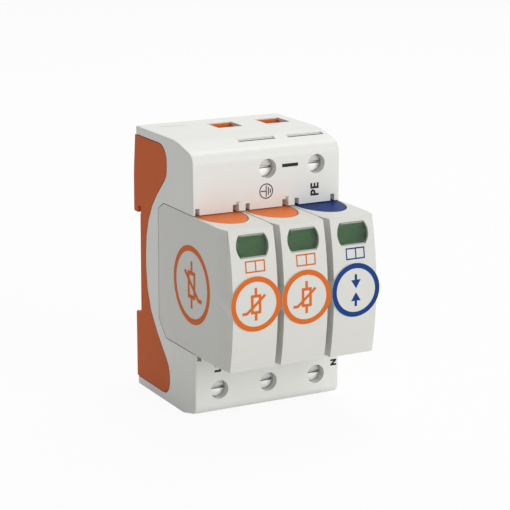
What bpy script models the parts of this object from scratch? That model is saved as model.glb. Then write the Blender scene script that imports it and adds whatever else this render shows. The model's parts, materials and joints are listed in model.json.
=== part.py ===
"""Three-pole surge arrester for a 35 mm rail, with plug-in protection cartridges.

Metres, +Z up. The origin is the middle of the rail seat. X runs across the poles, -Y is the
front of the device, and Z = 0 is the middle of the rail. Side views are outlines in (y, z).
"""

import math

import bmesh
import bpy
from mathutils import Matrix, Vector

# Whole device
POLES = 3
POLE_PITCH = 0.0180
SIDE_PLAY = 0.00015  # each outer side stands this far inside the pole grid
HEIGHT = 0.0900
CARTRIDGE_HEIGHT = HEIGHT / 2
GAP = 0.0003  # clearance between neighbouring pieces

# Front housing, side view
PLATE_END = 0.0033  # top and bottom plates end this far behind the rail seat
PLATE = 0.0028  # thickness of the plates over and under the rear housing
UPPER_DEPTH = 0.0391
LOWER_DEPTH = 0.0408
FRONT_DRAFT = 0.0005  # the upper block leans this far forward towards its foot
CROWN_DEPTH = 0.0270  # the flat top ends here
BROW_DROP = 0.0031
BROW_RADIUS = 0.0040
CROWN_RADIUS = 0.0200
SOLE_DEPTH = 0.0315  # the flat underside ends here
CHIN_RISE = 0.0022
CHIN_RADIUS = 0.0028
SIDE_ROUNDING = 0.0007

# Parting curve between the two housings, side view. Its heights and radii follow the device's
UPPER_LOBE_DEPTH = 0.0206
LOWER_LOBE_DEPTH = 0.0220
UPPER_LOBE_FOOT = 0.3544 * HEIGHT
LOWER_LOBE_HEAD = -0.3600 * HEIGHT
UPPER_LOBE_RADIUS = 0.0611 * HEIGHT
LOWER_LOBE_RADIUS = 0.0556 * HEIGHT
UPPER_HIP_RADIUS = 0.0667 * HEIGHT
LOWER_HIP_RADIUS = 0.0889 * HEIGHT
WAIST_DEPTH = 0.0042
WAIST_TOP = 0.1767 * HEIGHT
WAIST_BOTTOM = -0.1511 * HEIGHT
WAIST_RADIUS = HEIGHT / 3

# Rail interface and rear outline
RAIL_HEIGHT = 0.0350
RAIL_FLANGE = 0.0010
RAIL_PLAY = 0.0005
HOOK_SLOT = 0.0017  # room for the rail flange behind the seat
HOOK_REACH = 0.0018  # how far the upper hook laps the rail
HOOK_TIP_RADIUS = 0.0006
HOOK_MOUTH_RADIUS = 0.0003
SEAT_RELIEF = 0.0003  # the seat steps back by this much under the hook
REAR_EDGE_RADIUS = 0.0008
UPPER_REAR = 0.0049
UPPER_REAR_TOP = 0.0033
LOWER_REAR = 0.0038
LOWER_REAR_BOTTOM = 0.0035
LOWER_LIP = 0.0014  # the lower lobe starts this far under the rail
REAR_BEND = 0.3222 * HEIGHT  # height of the fullest place of the upper lobe's rear

# Rail foot
FOOT_TRAVEL = 0.0040
FOOT_WIDTH = 0.0140
FOOT_TONGUE = 0.0010  # each side tongue stands this far out
FOOT_TONGUE_DEPTH = 0.0016
FOOT_FRONT = -0.0010
FOOT_BACK = 0.0034
FOOT_NOSE = 0.0016  # laps the rail flange by this much
FOOT_RISE = 0.0046  # the slider ends this far above the underside
FOOT_SLOT_WIDTH = 0.0060
FOOT_SLOT_HEIGHT = 0.0022
FOOT_SLOT_RISE = 0.0018
SPRING_RADIUS = 0.0013
SPRING_WIRE = 0.00022
SPRING_TURNS = 7
SPRING_LENGTH = HEIGHT / 10
SPRING_LEDGE = 0.0018
SPRING_BAY_WIDTH = 0.0042
SPRING_BAY_DROP = 0.0030  # the top of the spring's window lies this far under the rail

# Terminals
TERMINAL_INSET = 0.0094  # the screw axes lie this far inside the top and the underside
TERMINAL_HEIGHT = HEIGHT / 2 - TERMINAL_INSET
SCREW_HEAD_RADIUS = 0.0029
SCREW_HEAD_LENGTH = 0.0034
SCREW_SHANK_RADIUS = 0.0021
SCREW_RECESS = 0.0012
SCREW_PITCH = 0.0008
SCREW_TURNS = 10
SCREW_SLOT = 0.0009
SCREW_SLOT_DEPTH = 0.0014
SCREW_CROSS = 0.0036
SCREW_CROSS_DEPTH = 0.0022
SCREW_HOLE_PLAY = 0.00025
WIRE_WINDOW_WIDTH = 0.0090
WIRE_WINDOW_FRONT = 0.0137
WIRE_WINDOW_REAR = 0.0049
WIRE_TIP_ROOM = 0.0020
CAGE_WALL = 0.0013
CAGE_FRONT_WALL = 0.0020
CAGE_HEIGHT = 0.0092
CAGE_BAR_ROOM = 0.0005
CAGE_CORNER = 0.0010
JAW_SETBACK = 0.0002

# Contact bars
BAR_THICKNESS = 0.0014
BAR_WIDTH = 0.0072
PLATE_INSET = 0.00005  # the flat plates are this much thinner than the bent bars
BAR_PLANE = 0.0044  # rear face of the plug contacts
BAR_STEP_INSET = 0.0089  # the bars step forward this far inside the screw axes
BAR_STEP_HEIGHT = TERMINAL_HEIGHT - BAR_STEP_INSET
LINK_WIDTH = 0.0030
FORK_HEIGHT = 0.0074
FORK_FINGER = 0.0009
FORK_FLARE = 0.0005
FORK_DEPTH = 0.0122
LINK_OFFSET = 0.0015

# Cartridges, side view
CARTRIDGE_WIDTH = 0.0176
CARTRIDGE_REAR = 0.0140
FACE_DEPTH = 0.06495
FACE_RADIUS = 0.0940
FACE_APEX = -0.0035
TOP_CHAMFER_DEPTH = 0.0039
TOP_CHAMFER_DROP = 0.0023
FOOT_CHAMFER = 0.0054
CHAMFER_ROUNDING = 0.0008
TAPER_START = 0.0572
TAPER_START_RADIUS = 0.0080
TAPER_END = 0.0612
TAPER_END_RADIUS = 0.0020
FACE_WIDTH = 0.0157
SHELL_WALL = 0.0013
FRONT_WALL = 0.0016
BOSS_RADIUS = 0.0088
BOSS_HEIGHT = -0.0007
BOSS_RISE = 0.0004

# Coloured inlay in the cartridge's top
CAP_HALF_WIDTH = 0.0078
CAP_FRONT = 0.0533
CAP_REAR = 0.0330
CAP_THICKNESS = 0.0010
CAP_FLOOR = 0.0009  # wall left under the inlay

# Status window and flag
WINDOW_HEIGHT = 0.0072
WINDOW_WIDTH = 0.0114
WINDOW_END_WIDTH = 0.0088
WINDOW_DROP = 0.0052  # the window's middle lies this far under the cartridge's top
WINDOW_CENTRE = CARTRIDGE_HEIGHT / 2 - WINDOW_DROP
LENS_SINK = 0.0003
LENS_THICKNESS = 0.0012
FLAG_WIDTH = 0.0122
FLAG_THICKNESS = 0.0008
FLAG_MARGIN = 0.0004
FLAG_TRAVEL = 0.0080
FLAG_KEEL_WIDTH = 0.0030
FLAG_KEEL_DEPTH = 0.0020
FLAG_KEEL_HEIGHT = 0.0050

# Inside the cartridge
BACK_THICKNESS = 0.0014
UPPER_BLADE_INSET = 0.0085
LOWER_BLADE_INSET = 0.0115
BLADE_HEIGHT = 0.0070
BLADE_THICKNESS = 0.0015
STRAP_BEND_START = 0.0166
STRAP_BEND_END = 0.0196
STRAP_END = 0.0360
CARRIER_WIDTH = 0.0124
CARRIER_REAR = 0.0180
ELEMENT_CENTRE_DEPTH = 0.0385
ELEMENT_CENTRE_HEIGHT = -0.0006
VARISTOR_MARGIN = 0.0065  # room over and under the varistor in the cartridge
VARISTOR_DEPTH = 0.0320
VARISTOR_CORNER = 0.0040
VARISTOR_THICKNESS = 0.0050
SPARK_GAP_RADIUS = CARTRIDGE_HEIGHT / 3
SPARK_GAP_THICKNESS = 0.0080
SPARK_GAP_LIP = 0.0016

# Front details of the blocks
NOTCH_INNER = 0.0059
NOTCH_WIDTH = 0.0012
NOTCH_HEIGHT = 0.0018
NOTCH_DEPTH = 0.0020
NIB_WIDTH = 0.0011
NIB_OFFSET = 0.0006  # each nib stands this far left of the line between two poles
NIB_HEIGHT = 0.0026
NIB_REACH = 0.0011
COMB_SLOT_WIDTH = 0.0134
COMB_SLOT_HEIGHT = 0.0022
COMB_SLOT_DEPTH = 0.0030
COMB_SLOT_SETBACK = 0.0068  # from the upper block's front

ARC_STEP = math.radians(15)
ROUND_SEGMENTS = 24
FACE_STEPS = 12
MERGE_DISTANCE = 0.000001
FILL_SCALE = 1000  # flat outlines are filled this many times larger, where the fill is exact

BLADES = {
    "upper": CARTRIDGE_HEIGHT / 2 - UPPER_BLADE_INSET,
    "lower": LOWER_BLADE_INSET - CARTRIDGE_HEIGHT / 2,
}
TERMINALS = {"upper": (2, 3), "lower": (1, 2, 3)}
SIDES = {"upper": 1, "lower": -1}

WHITE_PLASTIC = ((0.80, 0.80, 0.79), 0.42, 0.0)
ORANGE_PLASTIC = ((0.62, 0.16, 0.04), 0.45, 0.0)
BLUE_PLASTIC = ((0.02, 0.06, 0.22), 0.40, 0.0)
GREEN_PLASTIC = ((0.07, 0.13, 0.07), 0.40, 0.0)
RED_PLASTIC = ((0.45, 0.03, 0.02), 0.45, 0.0)
CLEAR_PLASTIC = ((0.85, 0.88, 0.86), 0.08, 0.0)
GREY_PLASTIC = ((0.20, 0.20, 0.21), 0.50, 0.0)
COATING = ((0.03, 0.10, 0.20), 0.55, 0.0)
CERAMIC = ((0.78, 0.75, 0.70), 0.40, 0.0)
PLATED_STEEL = ((0.62, 0.62, 0.60), 0.28, 1.0)
SPRING_STEEL = ((0.45, 0.45, 0.46), 0.30, 1.0)
TINNED_COPPER = ((0.72, 0.66, 0.58), 0.32, 1.0)


# Outlines


def rounded(corners):
    """Closed outline through corners (u, v, radius), with an arc at each corner that has a radius."""
    points = []
    for index, (u, v, radius) in enumerate(corners):
        corner = Vector((u, v))
        if radius == 0:
            points.append(corner)
            continue
        before = (Vector(corners[index - 1][:2]) - corner).normalized()
        after = (Vector(corners[(index + 1) % len(corners)][:2]) - corner).normalized()
        half_angle = before.angle(after) / 2
        centre = corner + (before + after).normalized() * (radius / math.sin(half_angle))
        start = corner + before * (radius / math.tan(half_angle)) - centre
        end = corner + after * (radius / math.tan(half_angle)) - centre
        first = math.atan2(start.y, start.x)
        turn = (math.atan2(end.y, end.x) - first + math.pi) % (2 * math.pi) - math.pi
        steps = max(1, math.ceil(abs(turn) / ARC_STEP))
        for step in range(steps + 1):
            angle = first + turn * step / steps
            points.append(centre + radius * Vector((math.cos(angle), math.sin(angle))))
    return points


def area(outline):
    """Signed area, positive when the outline runs anticlockwise."""
    total = 0
    for index, point in enumerate(outline):
        total += outline[index - 1].x * point.y - point.x * outline[index - 1].y
    return total / 2


def grown(outline, distance):
    """The outline moved outwards everywhere by a distance, or inwards by a negative one."""
    side = math.copysign(distance, distance * area(outline))
    points = []
    for index, point in enumerate(outline):
        before = (point - outline[index - 1]).normalized()
        after = (outline[(index + 1) % len(outline)] - point).normalized()
        first = Vector((before.y, -before.x))
        second = Vector((after.y, -after.x))
        points.append(point + (first + second) * side / (1 + first.dot(second)))
    return points


def strip(path, thickness):
    """Outline of a bent sheet: an open path of points thickened evenly to both sides."""
    left = []
    right = []
    for index, (u, v) in enumerate(path):
        point = Vector((u, v))
        before = point - Vector(path[index - 1]) if index else Vector(path[1]) - point
        after = Vector(path[index + 1]) - point if index < len(path) - 1 else before
        before.normalize()
        after.normalize()
        first = Vector((before.y, -before.x))
        second = Vector((after.y, -after.x))
        push = (first + second) * thickness / 2 / (1 + first.dot(second))
        left.append(point + push)
        right.append(point - push)
    return left + right[::-1]


def rectangle(low, high, radius=0):
    """Outline of a rectangle between two corners."""
    corners = [(low[0], low[1]), (high[0], low[1]), (high[0], high[1]), (low[0], high[1])]
    return rounded([(u, v, radius) for u, v in corners])


def circle(centre, radius, segments=ROUND_SEGMENTS):
    """Outline of a circle."""
    points = []
    for step in range(segments):
        angle = 2 * math.pi * step / segments
        points.append(Vector((centre[0] + radius * math.cos(angle), centre[1] + radius * math.sin(angle))))
    return points


# Solids


def clear_scene():
    """Removes what the scene holds."""
    for obj in list(bpy.data.objects):
        bpy.data.objects.remove(obj, do_unlink=True)


def new_collection(name):
    collection = bpy.data.collections.new(name)
    bpy.context.scene.collection.children.link(collection)
    return collection


clear_scene()
PARTS = new_collection("surge_arrester")
CUTTERS = new_collection("cutters")


def tool(data):
    """A helper object, kept out of the model until it becomes a part."""
    obj = bpy.data.objects.new("cutter", data)
    obj.hide_render = True
    obj.display_type = "WIRE"
    CUTTERS.objects.link(obj)
    return obj


def evaluated_mesh(obj):
    """The object's mesh with its modifiers applied."""
    graph = bpy.context.evaluated_depsgraph_get()
    graph.update()
    return bpy.data.meshes.new_from_object(obj.evaluated_get(graph))


def from_shape(shape):
    """A helper object from a bmesh."""
    mesh = bpy.data.meshes.new("shape")
    shape.to_mesh(mesh)
    shape.free()
    return tool(mesh)


def block(low, high):
    """A box between two corners."""
    size = Vector(high) - Vector(low)
    centre = (Vector(high) + Vector(low)) / 2
    shape = bmesh.new()
    bmesh.ops.create_cube(shape, size=1)
    placing = Matrix.Translation(centre) @ Matrix.Diagonal((*size, 1))
    bmesh.ops.transform(shape, matrix=placing, verts=shape.verts)
    return from_shape(shape)


def prism(outline, low, high, axis):
    """A solid with a flat outline, between two levels along an axis. Along Y, (u, v) is (x, z)."""
    facing = {
        "X": Matrix(((0, 0, 1), (1, 0, 0), (0, 1, 0))),
        "Y": Matrix(((1, 0, 0), (0, 0, -1), (0, 1, 0))),
        "Z": Matrix.Identity(3),
    }[axis]
    curve = bpy.data.curves.new("outline", "CURVE")
    curve.dimensions = "2D"
    curve.fill_mode = "BOTH"
    curve.extrude = (high - low) / 2 * FILL_SCALE
    line = curve.splines.new("POLY")
    line.points.add(len(outline) - 1)
    for point, (u, v) in zip(line.points, outline):
        point.co = (u * FILL_SCALE, v * FILL_SCALE, 0, 1)
    line.use_cyclic_u = True
    guide = tool(curve)
    mesh = evaluated_mesh(guide)
    bpy.data.objects.remove(guide)
    shape = bmesh.new()
    shape.from_mesh(mesh)
    bmesh.ops.remove_doubles(shape, verts=shape.verts, dist=0.0001)
    bmesh.ops.dissolve_limit(shape, angle_limit=0.001, verts=[], edges=shape.edges)
    bmesh.ops.recalc_face_normals(shape, faces=shape.faces)
    middle = (low + high) / 2
    placing = facing.to_4x4() @ Matrix.Translation((0, 0, -middle if axis == "Y" else middle))
    placing = placing @ Matrix.Diagonal((1 / FILL_SCALE, 1 / FILL_SCALE, 1 / FILL_SCALE, 1))
    bmesh.ops.transform(shape, matrix=placing, verts=shape.verts)
    return from_shape(shape)


def ring_column(profile):
    """A turned solid about the X axis, from a profile of (x, radius) points that ends on the axis."""
    mesh = bpy.data.meshes.new("profile")
    points = [(radius, 0, x) for x, radius in profile]
    lines = [(index, index + 1) for index in range(len(points) - 1)]
    mesh.from_pydata(points, lines, [])
    obj = tool(mesh)
    turn = obj.modifiers.new("turn", "SCREW")
    turn.steps = 2 * ROUND_SEGMENTS
    turn.render_steps = turn.steps
    turn.use_merge_vertices = True
    turn.merge_threshold = MERGE_DISTANCE
    settle(obj)
    obj.data.transform(Matrix.Rotation(math.pi / 2, 4, "Y"))
    return obj


def combine(target, other, operation):
    """Gives the target an exact Boolean with another solid."""
    step = target.modifiers.new(operation.lower(), "BOOLEAN")
    step.operation = operation
    step.solver = "EXACT"
    step.object = other


def cut(target, *others):
    for other in others:
        combine(target, other, "DIFFERENCE")


def join(target, *others):
    for other in others:
        combine(target, other, "UNION")


def keep_inside(target, other):
    combine(target, other, "INTERSECT")


def settle(obj):
    """Applies the object's modifiers, merges the doubled points of the cuts, removes the helpers."""
    helpers = [step.object for step in obj.modifiers if step.type == "BOOLEAN"]
    shape = bmesh.new()
    shape.from_mesh(evaluated_mesh(obj))
    bmesh.ops.remove_doubles(shape, verts=shape.verts, dist=MERGE_DISTANCE)
    bmesh.ops.dissolve_degenerate(shape, edges=shape.edges, dist=MERGE_DISTANCE)
    obj.modifiers.clear()
    shape.to_mesh(obj.data)
    shape.free()
    for helper in helpers:
        bpy.data.objects.remove(helper)
    return obj


def soften(obj, radius, segments, chosen):
    """Rounds the sharp edges for which chosen(edge) is true."""
    shape = bmesh.new()
    shape.from_mesh(obj.data)
    edges = []
    for edge in shape.edges:
        if len(edge.link_faces) == 2 and edge.calc_face_angle() > math.radians(40) and chosen(edge):
            edges.append(edge)
    bmesh.ops.bevel(shape, geom=edges, offset=radius, segments=segments, profile=0.5, affect="EDGES")
    shape.to_mesh(obj.data)
    shape.free()


def material(name, finish):
    """A plain material with the piece's colour, roughness and metallic value."""
    colour, roughness, metallic = finish
    surface = bpy.data.materials.new(name)
    surface.use_nodes = True
    shader = surface.node_tree.nodes["Principled BSDF"]
    shader.inputs["Base Color"].default_value = (*colour, 1)
    shader.inputs["Roughness"].default_value = roughness
    shader.inputs["Metallic"].default_value = metallic
    return surface


def make_part(name, obj, finish, parent=None):
    """Turns a helper into a named part, with its own material, seated in its parent's frame."""
    settle(obj)
    CUTTERS.objects.unlink(obj)
    PARTS.objects.link(obj)
    obj.name = name
    obj.data.name = name
    obj.hide_render = False
    obj.display_type = "TEXTURED"
    obj.data.materials.clear()
    obj.data.materials.append(material(name, finish))
    obj.data.shade_smooth()
    obj.data.set_sharp_from_angle(angle=math.radians(30))
    obj.parent = parent
    return obj


def frame_at(name, place):
    """An empty that carries the pieces of one moving body."""
    empty = bpy.data.objects.new(name, None)
    empty.location = place
    PARTS.objects.link(empty)
    return empty


# Shared places


def pole_x(number):
    """Middle of a pole, numbered from 1 at the left."""
    return (number - (POLES + 1) / 2) * POLE_PITCH


def base_half_width():
    return POLES * POLE_PITCH / 2 - SIDE_PLAY


def terminal_place(level, number):
    """Where a terminal screw's axis meets the plane of the rail seat."""
    return Vector((pole_x(number), 0, SIDES[level] * TERMINAL_HEIGHT))


def bar_faces():
    """Front and rear face of the terminal bars."""
    return -WIRE_WINDOW_FRONT - BAR_THICKNESS, -WIRE_WINDOW_FRONT


def cage_travel():
    return SCREW_TURNS * SCREW_PITCH


def jaw_face():
    """Face of the open cage's jaw that presses on the wire."""
    return -WIRE_WINDOW_REAR + JAW_SETBACK


def cage_front():
    return bar_faces()[0] - CAGE_BAR_ROOM - CAGE_FRONT_WALL


def chamber_front():
    """Front wall of the terminal chamber, just clear of the closed cage."""
    return cage_front() - cage_travel() - GAP


def chamber_rear():
    return jaw_face() + CAGE_WALL + GAP


def cage_half_width():
    return WIRE_WINDOW_WIDTH / 2 + CAGE_WALL


def head_rear(level):
    """Rear face of a screw's head."""
    return -block_depth(level) + SCREW_RECESS + SCREW_HEAD_LENGTH


def block_depth(level):
    return UPPER_DEPTH if level == "upper" else LOWER_DEPTH


def face_y(height, inset=0):
    """Depth of the cartridges' curved face at a height, or of a surface that far behind it."""
    radius = FACE_RADIUS - inset
    return -FACE_DEPTH + FACE_RADIUS - math.sqrt(radius**2 - (height - FACE_APEX) ** 2)


def cartridge_outline():
    """Side view of a cartridge, anticlockwise from the foot of its face."""
    half = CARTRIDGE_HEIGHT / 2
    rear = -CARTRIDGE_REAR
    corners = [
        (rear - FOOT_CHAMFER, -half, CHAMFER_ROUNDING),
        (rear, -half + FOOT_CHAMFER, CHAMFER_ROUNDING),
        (rear, half - TOP_CHAMFER_DROP, CHAMFER_ROUNDING),
        (rear - TOP_CHAMFER_DEPTH, half, CHAMFER_ROUNDING),
    ]
    for step in range(FACE_STEPS + 1):
        height = half - CARTRIDGE_HEIGHT * step / FACE_STEPS
        corners.append((face_y(height), height, 0))
    return rounded(corners)


def parting_outline():
    """Side view of the space that the rear housing fills in the front one."""
    top = HEIGHT / 2 - PLATE
    behind = 2 * UPPER_REAR
    return rounded(
        [
            (behind, top, 0),
            (-UPPER_LOBE_DEPTH, top, UPPER_LOBE_RADIUS),
            (-UPPER_LOBE_DEPTH, UPPER_LOBE_FOOT, UPPER_HIP_RADIUS),
            (-WAIST_DEPTH, WAIST_TOP, WAIST_RADIUS),
            (-WAIST_DEPTH, WAIST_BOTTOM, WAIST_RADIUS),
            (-LOWER_LOBE_DEPTH, LOWER_LOBE_HEAD, LOWER_HIP_RADIUS),
            (-LOWER_LOBE_DEPTH, -top, LOWER_LOBE_RADIUS),
            (behind, -top, 0),
        ]
    )


# Housings


def base_form():
    """The base as one block, with its rounded sides, before the bay and the rear are taken out."""
    top = HEIGHT / 2
    bay_half = CARTRIDGE_HEIGHT / 2 + GAP
    outline = rounded(
        [
            (PLATE_END, top, 0),
            (-CROWN_DEPTH, top, CROWN_RADIUS),
            (-UPPER_DEPTH, top - BROW_DROP, BROW_RADIUS),
            (-UPPER_DEPTH - FRONT_DRAFT, bay_half, 0),
            (-LOWER_DEPTH, -bay_half, 0),
            (-LOWER_DEPTH, -top + CHIN_RISE, CHIN_RADIUS),
            (-SOLE_DEPTH, -top, 0),
            (PLATE_END, -top, 0),
        ]
    )
    half_width = base_half_width()
    form = prism(outline, -half_width, half_width, "X")

    def on_side(edge):
        ends = [abs(abs(vert.co.x) - half_width) < GAP / 10 for vert in edge.verts]
        return all(ends)

    soften(form, SIDE_ROUNDING, 2, on_side)
    return form


def bay():
    """The space for the cartridges, open to the front and to both sides."""
    width = base_half_width() + GAP
    outline = grown(cartridge_outline(), GAP)
    return prism(outline, -width, width, "X")


def chambers(level):
    """Cutters for the terminals of one block: cage chamber, wire window, and screw holes."""
    side = SIDES[level]
    cutters = []
    for number in TERMINALS[level]:
        place = terminal_place(level, number)
        half_width = cage_half_width() + GAP
        half_height = CAGE_HEIGHT / 2 + GAP
        cutters.append(
            block(
                (place.x - half_width, chamber_front(), place.z - half_height),
                (place.x + half_width, chamber_rear(), place.z + half_height),
            )
        )
        inner = side * (BAR_STEP_HEIGHT - WIRE_TIP_ROOM)
        outer = side * (HEIGHT / 2 + GAP)
        cutters.append(
            block(
                (place.x - WIRE_WINDOW_WIDTH / 2, -WIRE_WINDOW_FRONT, min(inner, outer)),
                (place.x + WIRE_WINDOW_WIDTH / 2, -WIRE_WINDOW_REAR, max(inner, outer)),
            )
        )
        head_hole = circle((place.x, place.z), SCREW_HEAD_RADIUS + SCREW_HOLE_PLAY)
        cutters.append(prism(head_hole, -LOWER_DEPTH - UPPER_DEPTH, head_rear(level) + GAP, "Y"))
        shank_hole = circle((place.x, place.z), SCREW_SHANK_RADIUS + GAP)
        cutters.append(prism(shank_hole, head_rear(level), chamber_front() + GAP, "Y"))
    return cutters


def blade_slots():
    """Slots in the bay's floor for the cartridges' blades."""
    cutters = []
    for number in range(1, POLES + 1):
        for height in BLADES.values():
            half_width = BLADE_THICKNESS / 2 + GAP
            half_height = BLADE_HEIGHT / 2 + GAP
            cutters.append(
                block(
                    (pole_x(number) - half_width, -CARTRIDGE_REAR - GAP, height - half_height),
                    (pole_x(number) + half_width, -FORK_DEPTH + GAP, height + half_height),
                )
            )
    return cutters


def notches():
    """Small relief notches at both ends of each pole, in the edges of the two blocks."""
    cutters = []
    bay_half = CARTRIDGE_HEIGHT / 2 + GAP
    for number in range(1, POLES + 1):
        for side in (-1, 1):
            for level, way in SIDES.items():
                inner = pole_x(number) + side * NOTCH_INNER
                outer = inner + side * NOTCH_WIDTH
                front = -block_depth(level) - 2 * FRONT_DRAFT
                low = min(way * (bay_half - GAP), way * (bay_half + NOTCH_HEIGHT))
                high = max(way * (bay_half - GAP), way * (bay_half + NOTCH_HEIGHT))
                cutters.append(
                    block(
                        (min(inner, outer), front, low),
                        (max(inner, outer), front + NOTCH_DEPTH + 2 * FRONT_DRAFT, high),
                    )
                )
    return cutters


def nibs():
    """Upright nibs between the poles, at the foot of the upper block."""
    pieces = []
    foot = CARTRIDGE_HEIGHT / 2 + 2 * GAP
    for number in range(1, POLES):
        right = (pole_x(number) + pole_x(number + 1)) / 2 - NIB_OFFSET
        front = -UPPER_DEPTH - FRONT_DRAFT - NIB_REACH
        outline = rectangle(
            (right - NIB_WIDTH, foot), (right, foot + NIB_HEIGHT), NIB_WIDTH / 3
        )
        pieces.append(prism(outline, front, front + 2 * NIB_REACH + FRONT_DRAFT, "Y"))
    return pieces


def comb_slots():
    """Long thin slots in the brow over the upper terminals."""
    cutters = []
    for number in TERMINALS["upper"]:
        front = -UPPER_DEPTH + COMB_SLOT_SETBACK
        top = HEIGHT / 2
        cutters.append(
            block(
                (pole_x(number) - COMB_SLOT_WIDTH / 2, front, top - COMB_SLOT_DEPTH),
                (pole_x(number) + COMB_SLOT_WIDTH / 2, front + COMB_SLOT_HEIGHT, top + GAP),
            )
        )
    return cutters


def make_front_housing():
    form = base_form()
    width = base_half_width() + GAP
    cut(form, bay(), prism(parting_outline(), -width, width, "X"))
    cut(form, *chambers("upper"), *chambers("lower"))
    cut(form, *contact_pockets(), *blade_slots())
    cut(form, *foot_guide())
    cut(form, *notches(), *comb_slots())
    join(form, *nibs())
    return make_part("front_housing", form, WHITE_PLASTIC)


def rear_form():
    """The rear housing with its rail seat and hook, before its front is shaped."""
    top = HEIGHT / 2
    front = -UPPER_LOBE_DEPTH - LOWER_LOBE_DEPTH
    rail_top = RAIL_HEIGHT / 2
    slot_top = rail_top + RAIL_PLAY
    hook_tip = rail_top - HOOK_REACH
    lip = -rail_top - LOWER_LIP
    outline = rounded(
        [
            (front, top, 0),
            (UPPER_REAR_TOP, top, 0),
            (UPPER_REAR, REAR_BEND, WAIST_RADIUS),
            (UPPER_REAR, hook_tip, HOOK_TIP_RADIUS),
            (HOOK_SLOT, hook_tip, HOOK_MOUTH_RADIUS),
            (HOOK_SLOT, slot_top, 0),
            (-SEAT_RELIEF, slot_top, 0),
            (-SEAT_RELIEF, hook_tip - GAP, 0),
            (0, hook_tip - GAP, 0),
            (0, lip, 0),
            (LOWER_REAR, lip, REAR_EDGE_RADIUS),
            (LOWER_REAR_BOTTOM, -top, 0),
            (front, -top, 0),
        ]
    )
    half_width = base_half_width()
    return prism(outline, -half_width, half_width, "X")


def foot_guide():
    """Cutters for the slider's guide: a narrow way behind and a wider one for its tongues."""
    half_width = FOOT_WIDTH / 2 + GAP
    foot_top = foot_nose_top() + GAP
    low = -HEIGHT / 2 - GAP
    way = block(
        (-half_width, FOOT_FRONT - GAP, low),
        (half_width, LOWER_REAR + UPPER_REAR, foot_top),
    )
    tongue_top = foot_shoulder() + GAP
    tongues = block(
        (-half_width - FOOT_TONGUE, FOOT_FRONT - GAP, low),
        (half_width + FOOT_TONGUE, FOOT_FRONT + FOOT_TONGUE_DEPTH + GAP, tongue_top),
    )
    return way, tongues


def make_rear_housing():
    form = rear_form()
    width = base_half_width() + GAP
    keep_inside(form, prism(grown(parting_outline(), -GAP), -width, width, "X"))
    cut(form, *chambers("upper"), *chambers("lower"))
    cut(form, *contact_pockets())
    cut(form, *foot_guide())
    ledge_low, ledge_high = spring_ledge()
    join(form, block(ledge_low, ledge_high))
    return make_part("rear_housing", form, ORANGE_PLASTIC)


# Rail foot


def foot_shoulder():
    """Top of the slider's body, just under the rail."""
    return -RAIL_HEIGHT / 2 - RAIL_PLAY


def foot_nose_top():
    return -RAIL_HEIGHT / 2 + FOOT_NOSE


def foot_end():
    """Height of the slider's lower end."""
    return FOOT_RISE - HEIGHT / 2


def spring_bay_top():
    """Top of the slider's window for the spring."""
    return -RAIL_HEIGHT / 2 - SPRING_BAY_DROP


def spring_floor():
    """Height of the fixed ledge that the spring stands on."""
    return spring_bay_top() - GAP - SPRING_LENGTH


def spring_ledge():
    """The fixed ledge that reaches into the slider's window under the spring."""
    half_width = SPRING_BAY_WIDTH / 2 - GAP
    low = (-half_width, FOOT_FRONT - 2 * GAP, spring_floor() - GAP - SPRING_LEDGE)
    high = (half_width, FOOT_BACK - GAP, spring_floor() - GAP)
    return low, high


def make_rail_foot(parent):
    half_width = FOOT_WIDTH / 2
    shoulder = foot_shoulder()
    nose_front = RAIL_FLANGE + GAP
    side_view = rounded(
        [
            (FOOT_FRONT, foot_end(), 0),
            (FOOT_BACK, foot_end(), REAR_EDGE_RADIUS),
            (FOOT_BACK, foot_nose_top(), HOOK_TIP_RADIUS),
            (nose_front, foot_nose_top() - FOOT_NOSE / 2, 0),
            (nose_front, shoulder, 0),
            (FOOT_FRONT, shoulder, 0),
        ]
    )
    foot = prism(side_view, -half_width, half_width, "X")
    slot_foot = foot_end() + FOOT_SLOT_RISE
    tongue_low = (-half_width - FOOT_TONGUE, FOOT_FRONT, slot_foot)
    tongue_high = (half_width + FOOT_TONGUE, FOOT_FRONT + FOOT_TONGUE_DEPTH, shoulder - FOOT_TRAVEL / 2)
    join(foot, block(tongue_low, tongue_high))
    bay_half = SPRING_BAY_WIDTH / 2
    ledge_low, _ = spring_ledge()
    cut(
        foot,
        block(
            (-bay_half, FOOT_FRONT - GAP, ledge_low[2] - GAP),
            (bay_half, FOOT_BACK + GAP, spring_bay_top()),
        ),
        block(
            (-FOOT_SLOT_WIDTH / 2, FOOT_FRONT - GAP, slot_foot),
            (FOOT_SLOT_WIDTH / 2, FOOT_BACK + GAP, slot_foot + FOOT_SLOT_HEIGHT),
        ),
    )
    return make_part("rail_foot", foot, GREY_PLASTIC, parent)


def make_foot_spring():
    """A coil spring between the fixed ledge and the top of the slider's window."""
    curve = bpy.data.curves.new("coil", "CURVE")
    curve.dimensions = "3D"
    curve.bevel_depth = SPRING_WIRE
    curve.bevel_resolution = 1
    curve.use_fill_caps = True
    points_per_turn = 10
    count = SPRING_TURNS * points_per_turn + 1
    line = curve.splines.new("POLY")
    line.points.add(count - 1)
    middle = (FOOT_FRONT + FOOT_BACK) / 2
    rise = SPRING_LENGTH - 2 * SPRING_WIRE
    for step, point in enumerate(line.points):
        angle = 2 * math.pi * step / points_per_turn
        height = spring_floor() + SPRING_WIRE + rise * step / (count - 1)
        x = SPRING_RADIUS * math.cos(angle)
        y = middle + SPRING_RADIUS * math.sin(angle)
        point.co = (x, y, height, 1)
    guide = tool(curve)
    shape = bmesh.new()
    shape.from_mesh(evaluated_mesh(guide))
    bpy.data.objects.remove(guide)
    return make_part("foot_spring", from_shape(shape), SPRING_STEEL)


# Terminals


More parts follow.
